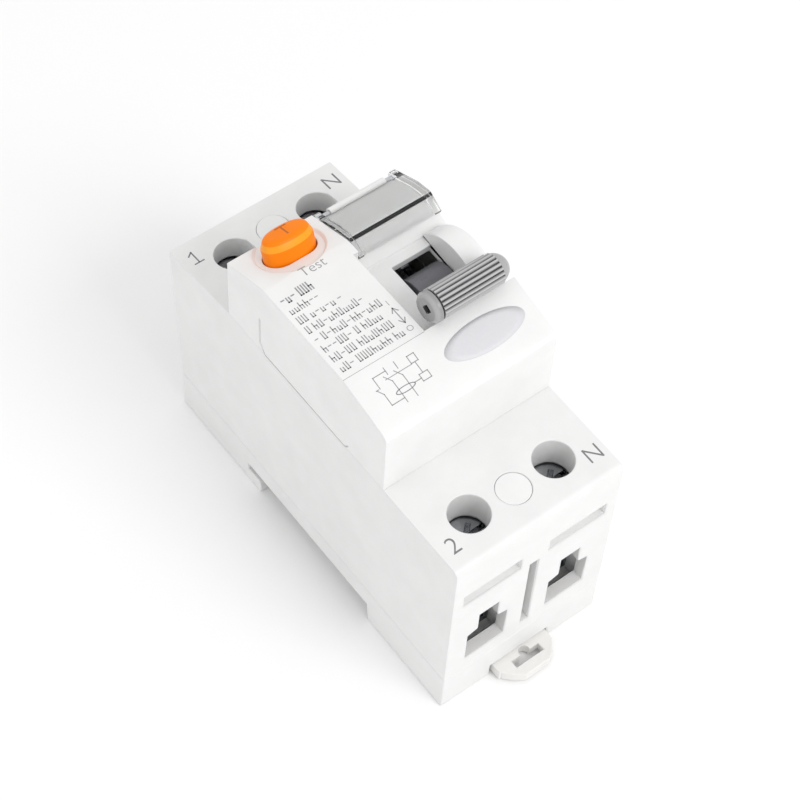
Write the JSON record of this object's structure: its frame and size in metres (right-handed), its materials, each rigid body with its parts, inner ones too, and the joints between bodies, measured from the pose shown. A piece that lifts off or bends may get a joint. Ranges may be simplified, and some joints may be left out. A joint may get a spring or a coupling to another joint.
{
  "type": "residual current device",
  "caption": "Rail-mounted modular residual current device with toggle, test button, flip-up label window and screw clamp terminals.",
  "frame": {"origin": "centre of the rail seat, the floor of the 35 mm rail slot", "axes": "+X across the poles to the right seen from the front, +Y to the supply terminals, +Z out of the front"},
  "size_m": [0.036, 0.089, 0.0733],
  "materials": {
    "case_white": "satin",
    "cover_white": "satin",
    "base_white": "satin",
    "clip_white": "satin",
    "plug_white": "satin",
    "button_orange": "satin",
    "handle_grey": "satin",
    "window_clear": "clear polycarbonate",
    "card_grey": "satin",
    "zinc_steel": "zinc plated",
    "spring_steel": "drawn wire",
    "cage_steel": "zinc plated",
    "copper": "bare copper",
    "core_grey": "coated core",
    "winding_copper": "enamelled wire",
    "carrier_black": "moulded",
    "relay_black": "moulded",
    "lever_cream": "moulded",
    "board_green": "laminate",
    "parts_blue": "coated",
    "resistor_tan": "coated",
    "wire_blue": "sleeved wire"
  },
  "bodies": {
    "housing": {"rear_base": "base_white", "main_case": "case_white", "front_cover": "cover_white", "deck_plugs": "plug_white", "case_screws": "zinc_steel", "clip_spring": "spring_steel", "window_pin": "zinc_steel", "label_card": "card_grey", "handle_spring": "spring_steel", "mechanism_frame": "zinc_steel", "carrier_shaft": "zinc_steel", "supply_bars": "copper", "load_bars": "copper", "conductors": "wire_blue", "braids": "copper", "transformer_core": "core_grey", "secondary_winding": "winding_copper", "relay_case": "relay_black", "trip_shaft": "zinc_steel", "circuit_board": "board_green", "board_parts": "parts_blue", "test_resistor": "resistor_tan", "test_strip": "copper", "test_contact": "copper", "button_spring": "spring_steel"},
    "toggle": {"toggle_handle": "handle_grey", "handle_shaft": "zinc_steel", "link_pin": "zinc_steel"},
    "link": {"toggle_link": "zinc_steel"},
    "carrier": {"contact_carrier": "carrier_black", "moving_contacts": "copper", "contact_springs": "spring_steel"},
    "button": {"test_button": "button_orange"},
    "clip": {"rail_clip": "clip_white"},
    "window": {"flip_window": "window_clear"},
    "plunger": {"relay_plunger": "zinc_steel"},
    "trip": {"trip_lever": "lever_cream"},
    "screw_body_1": {"screw_1": "zinc_steel"},
    "cage_body_1": {"cage_1": "cage_steel"},
    "screw_body_n_supply": {"screw_n_supply": "zinc_steel"},
    "cage_body_n_supply": {"cage_n_supply": "cage_steel"},
    "screw_body_2": {"screw_2": "zinc_steel"},
    "cage_body_2": {"cage_2": "cage_steel"},
    "screw_body_n_load": {"screw_n_load": "zinc_steel"},
    "cage_body_n_load": {"cage_n_load": "cage_steel"}
  },
  "joints": [
    {"name": "toggle_swing", "type": "hinge", "parent": "housing", "child": "toggle", "pos_m": [0, 0, 0.0521], "axis": [-1, 0, 0], "range_deg": [0, 60], "deforming": ["handle_spring", "braids"]},
    {"name": "link_swing", "type": "hinge", "parent": "toggle", "child": "link", "pos_m": [0, 0.00228, 0.04857], "axis": [-1, 0, 0], "range_deg": [-60.5, 0]},
    {"name": "contact_swing", "type": "hinge", "parent": "housing", "child": "carrier", "pos_m": [0, 0.008, 0.03679], "axis": [1, 0, 0], "range_deg": [0, 20.2]},
    {"name": "button_press", "type": "slide", "parent": "housing", "child": "button", "axis": [0, -0.35, -0.9367], "range_m": [0, 0.0016], "stiffness_N_per_m": 300, "springref_m": -0.002, "deforming": ["button_spring", "test_strip"]},
    {"name": "clip_pull", "type": "slide", "parent": "housing", "child": "clip", "axis": [0, -1, 0], "range_m": [0, 0.004], "stiffness_N_per_m": 800, "springref_m": -0.003, "deforming": ["clip_spring"]},
    {"name": "window_flip", "type": "hinge", "parent": "housing", "child": "window", "pos_m": [0, 0.022, 0.0571], "axis": [-1, 0, 0], "range_deg": [0, 100]},
    {"name": "relay_push", "type": "slide", "parent": "housing", "child": "plunger", "axis": [0, 1, 0], "range_m": [0, 0.0015], "stiffness_N_per_m": 200, "springref_m": -0.001},
    {"name": "trip_swing", "type": "hinge", "parent": "housing", "child": "trip", "pos_m": [0, -0.004, 0.041], "axis": [1, 0, 0], "range_deg": [0, 12.5]},
    {"name": "screw_turn_1", "type": "hinge", "parent": "housing", "child": "screw_body_1", "pos_m": [-0.00912, 0.0339, 0.03], "axis": [0, 0, -1], "range_deg": [0, 3240]},
    {"name": "cage_lift_1", "type": "slide", "parent": "housing", "child": "cage_body_1", "axis": [0, 0, 1], "range_m": [0, 0.0072]},
    {"name": "screw_turn_n_supply", "type": "hinge", "parent": "housing", "child": "screw_body_n_supply", "pos_m": [0.00912, 0.0339, 0.03], "axis": [0, 0, -1], "range_deg": [0, 3240]},
    {"name": "cage_lift_n_supply", "type": "slide", "parent": "housing", "child": "cage_body_n_supply", "axis": [0, 0, 1], "range_m": [0, 0.0072]},
    {"name": "screw_turn_2", "type": "hinge", "parent": "housing", "child": "screw_body_2", "pos_m": [-0.00912, -0.0339, 0.03], "axis": [0, 0, -1], "range_deg": [0, 3240]},
    {"name": "cage_lift_2", "type": "slide", "parent": "housing", "child": "cage_body_2", "axis": [0, 0, 1], "range_m": [0, 0.0072]},
    {"name": "screw_turn_n_load", "type": "hinge", "parent": "housing", "child": "screw_body_n_load", "pos_m": [0.00912, -0.0339, 0.03], "axis": [0, 0, -1], "range_deg": [0, 3240]},
    {"name": "cage_lift_n_load", "type": "slide", "parent": "housing", "child": "cage_body_n_load", "axis": [0, 0, 1], "range_m": [0, 0.0072]}
  ],
  "couplings": [
    {"joint": "link_swing", "follows": "toggle_swing", "ratio": -1},
    {"joint": "contact_swing", "follows": "toggle_swing", "ratio": 0.33333},
    {"joint": "trip_swing", "follows": "relay_push", "rad_per_m": 142.86},
    {"joint": "screw_turn_1", "follows": "cage_lift_1", "rad_per_m": 7853.9},
    {"joint": "screw_turn_n_supply", "follows": "cage_lift_n_supply", "rad_per_m": 7853.9},
    {"joint": "screw_turn_2", "follows": "cage_lift_2", "rad_per_m": 7853.9},
    {"joint": "screw_turn_n_load", "follows": "cage_lift_n_load", "rad_per_m": 7853.9}
  ]
}
